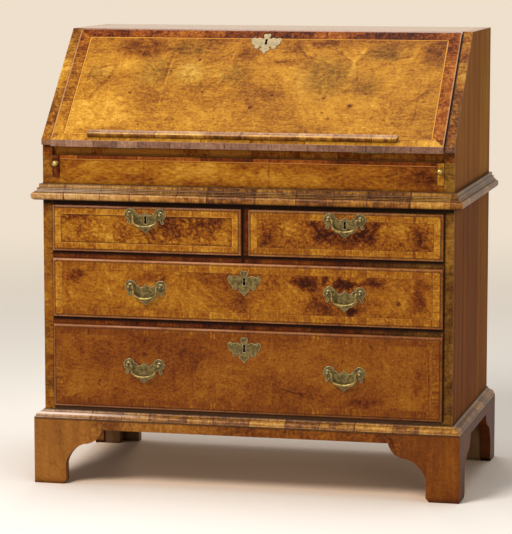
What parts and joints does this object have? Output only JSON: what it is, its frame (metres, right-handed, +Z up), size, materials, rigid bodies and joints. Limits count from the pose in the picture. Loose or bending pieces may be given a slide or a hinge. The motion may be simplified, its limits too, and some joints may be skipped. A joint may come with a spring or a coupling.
{
  "type": "writing bureau",
  "caption": "Slope-front writing bureau on bracket feet: hinged fall on pull-out lopers, fitted pigeonholes, graduated drawers with brass bat-wing handles.",
  "frame": {"origin": "bottom centre of the whole bureau, on the floor", "axes": "+X to the right as one sits at it, +Y from the front to the back, +Z up"},
  "size_m": [0.959, 0.528, 1],
  "materials": {
    "walnut_burr": "figured burr walnut veneer, waxed, cross-banded edges and light stringing",
    "walnut_drawer": "burr walnut veneer with feather banding, waxed",
    "walnut_side": "straight-grained walnut veneer, aged and waxed",
    "walnut_crossband": "cross-grained walnut, waxed",
    "walnut_moulding": "cross-grained walnut moulding, polished",
    "walnut_solid": "solid and veneered walnut, waxed",
    "walnut_interior": "walnut, waxed, less faded than the outside",
    "oak_lining": "dry oak drawer linings and inner frame",
    "pine_carcase": "dry pine boards, stained by age",
    "brass": "cast and filed brass, dulled by age",
    "iron": "filed steel bolt, oiled"
  },
  "bodies": {
    "case": {"side_left": "walnut_side", "side_right": "walnut_side", "top_board": "walnut_solid", "back_boards": "pine_carcase", "bottom_board": "walnut_solid", "writing_bed": "walnut_interior", "well_floor": "oak_lining", "frieze_front": "walnut_burr", "drawer_rails": "walnut_crossband", "runners_and_dust_boards": "oak_lining", "loper_guides": "oak_lining", "edge_facings": "walnut_crossband", "waist_moulding": "walnut_moulding", "base_moulding": "walnut_moulding", "foot_front_left": "walnut_solid", "foot_front_right": "walnut_solid", "foot_rear_left": "walnut_solid", "foot_rear_right": "walnut_solid", "base_aprons": "walnut_solid", "pigeonhole_case": "walnut_interior", "pigeonhole_valances": "walnut_interior", "fall_hinges_bed_leaves": "brass"},
    "fall": {"fall_board": "walnut_burr", "fall_nosing": "walnut_crossband", "book_rest": "walnut_moulding", "fall_escutcheon": "brass", "fall_lock": "brass", "fall_hinges_fall_leaves": "brass"},
    "fall_bolt": {"fall_lock_bolt": "iron"},
    "left_loper": {"loper_left": "walnut_solid", "loper_knob_left": "brass"},
    "right_loper": {"loper_right": "walnut_solid", "loper_knob_right": "brass"},
    "slide_of_well": {"well_slide": "walnut_interior"},
    "short_drawer_left": {"short_drawer_left_front": "walnut_drawer", "short_drawer_left_box": "oak_lining", "short_drawer_left_brasses": "brass"},
    "short_drawer_left_lock_bolt": {"short_drawer_left_bolt": "iron"},
    "short_drawer_left_handle": {"short_drawer_left_bail": "brass"},
    "short_drawer_right": {"short_drawer_right_front": "walnut_drawer", "short_drawer_right_box": "oak_lining", "short_drawer_right_brasses": "brass"},
    "short_drawer_right_lock_bolt": {"short_drawer_right_bolt": "iron"},
    "short_drawer_right_handle": {"short_drawer_right_bail": "brass"},
    "upper_drawer": {"upper_drawer_front": "walnut_drawer", "upper_drawer_box": "oak_lining", "upper_drawer_brasses": "brass"},
    "upper_drawer_lock_bolt": {"upper_drawer_bolt": "iron"},
    "upper_drawer_handle_left": {"upper_drawer_bail_left": "brass"},
    "upper_drawer_handle_right": {"upper_drawer_bail_right": "brass"},
    "lower_drawer": {"lower_drawer_front": "walnut_drawer", "lower_drawer_box": "oak_lining", "lower_drawer_brasses": "brass"},
    "lower_drawer_lock_bolt": {"lower_drawer_bolt": "iron"},
    "lower_drawer_handle_left": {"lower_drawer_bail_left": "brass"},
    "lower_drawer_handle_right": {"lower_drawer_bail_right": "brass"},
    "small_drawer_right_1_body": {"small_drawer_right_1": "walnut_interior"},
    "small_drawer_right_2_body": {"small_drawer_right_2": "walnut_interior"},
    "small_drawer_left_1_body": {"small_drawer_left_1": "walnut_interior"},
    "small_drawer_left_2_body": {"small_drawer_left_2": "walnut_interior"}
  },
  "joints": [
    {"name": "fall_hinge", "type": "hinge", "parent": "case", "child": "fall", "pos_m": [0, -0.241, 0.7515], "axis": [1, 0, 0], "range_deg": [0, 135.96]},
    {"name": "fall_bolt_slide", "type": "slide", "parent": "fall", "child": "fall_bolt", "axis": [0, 0.7188, 0.6952], "range_m": [0, 0.008]},
    {"name": "left_loper_slide", "type": "slide", "parent": "case", "child": "left_loper", "axis": [0, -1, 0], "range_m": [0, 0.285]},
    {"name": "right_loper_slide", "type": "slide", "parent": "case", "child": "right_loper", "axis": [0, -1, 0], "range_m": [0, 0.285]},
    {"name": "well_slide_move", "type": "slide", "parent": "case", "child": "slide_of_well", "axis": [0, 1, 0], "range_m": [0, 0.165]},
    {"name": "short_drawer_left_slide", "type": "slide", "parent": "case", "child": "short_drawer_left", "axis": [0, -1, 0], "range_m": [0, 0.36]},
    {"name": "short_drawer_left_bolt_slide", "type": "slide", "parent": "short_drawer_left", "child": "short_drawer_left_lock_bolt", "axis": [0, 0, 1], "range_m": [0, 0.008]},
    {"name": "short_drawer_left_handle_swing", "type": "hinge", "parent": "short_drawer_left", "child": "short_drawer_left_handle", "pos_m": [-0.222, -0.259, 0.6053], "axis": [-1, 0, 0], "range_deg": [-12, 120]},
    {"name": "short_drawer_right_slide", "type": "slide", "parent": "case", "child": "short_drawer_right", "axis": [0, -1, 0], "range_m": [0, 0.36]},
    {"name": "short_drawer_right_bolt_slide", "type": "slide", "parent": "short_drawer_right", "child": "short_drawer_right_lock_bolt", "axis": [0, 0, 1], "range_m": [0, 0.008]},
    {"name": "short_drawer_right_handle_swing", "type": "hinge", "parent": "short_drawer_right", "child": "short_drawer_right_handle", "pos_m": [0.222, -0.259, 0.6053], "axis": [-1, 0, 0], "range_deg": [-12, 120]},
    {"name": "upper_drawer_slide", "type": "slide", "parent": "case", "child": "upper_drawer", "axis": [0, -1, 0], "range_m": [0, 0.36]},
    {"name": "upper_drawer_bolt_slide", "type": "slide", "parent": "upper_drawer", "child": "upper_drawer_lock_bolt", "axis": [0, 0, 1], "range_m": [0, 0.008]},
    {"name": "upper_drawer_handle_left_swing", "type": "hinge", "parent": "upper_drawer", "child": "upper_drawer_handle_left", "pos_m": [-0.222, -0.259, 0.4465], "axis": [-1, 0, 0], "range_deg": [-12, 120]},
    {"name": "upper_drawer_handle_right_swing", "type": "hinge", "parent": "upper_drawer", "child": "upper_drawer_handle_right", "pos_m": [0.222, -0.259, 0.4465], "axis": [-1, 0, 0], "range_deg": [-12, 120]},
    {"name": "lower_drawer_slide", "type": "slide", "parent": "case", "child": "lower_drawer", "axis": [0, -1, 0], "range_m": [0, 0.36]},
    {"name": "lower_drawer_bolt_slide", "type": "slide", "parent": "lower_drawer", "child": "lower_drawer_lock_bolt", "axis": [0, 0, 1], "range_m": [0, 0.008]},
    {"name": "lower_drawer_handle_left_swing", "type": "hinge", "parent": "lower_drawer", "child": "lower_drawer_handle_left", "pos_m": [-0.2265, -0.259, 0.2725], "axis": [-1, 0, 0], "range_deg": [-12, 120]},
    {"name": "lower_drawer_handle_right_swing", "type": "hinge", "parent": "lower_drawer", "child": "lower_drawer_handle_right", "pos_m": [0.222, -0.259, 0.2725], "axis": [-1, 0, 0], "range_deg": [-12, 120]},
    {"name": "small_drawer_right_1_slide", "type": "slide", "parent": "case", "child": "small_drawer_right_1_body", "axis": [0, -1, 0], "range_m": [0, 0.16]},
    {"name": "small_drawer_right_2_slide", "type": "slide", "parent": "case", "child": "small_drawer_right_2_body", "axis": [0, -1, 0], "range_m": [0, 0.16]},
    {"name": "small_drawer_left_1_slide", "type": "slide", "parent": "case", "child": "small_drawer_left_1_body", "axis": [0, -1, 0], "range_m": [0, 0.16]},
    {"name": "small_drawer_left_2_slide", "type": "slide", "parent": "case", "child": "small_drawer_left_2_body", "axis": [0, -1, 0], "range_m": [0, 0.16]}
  ]
}
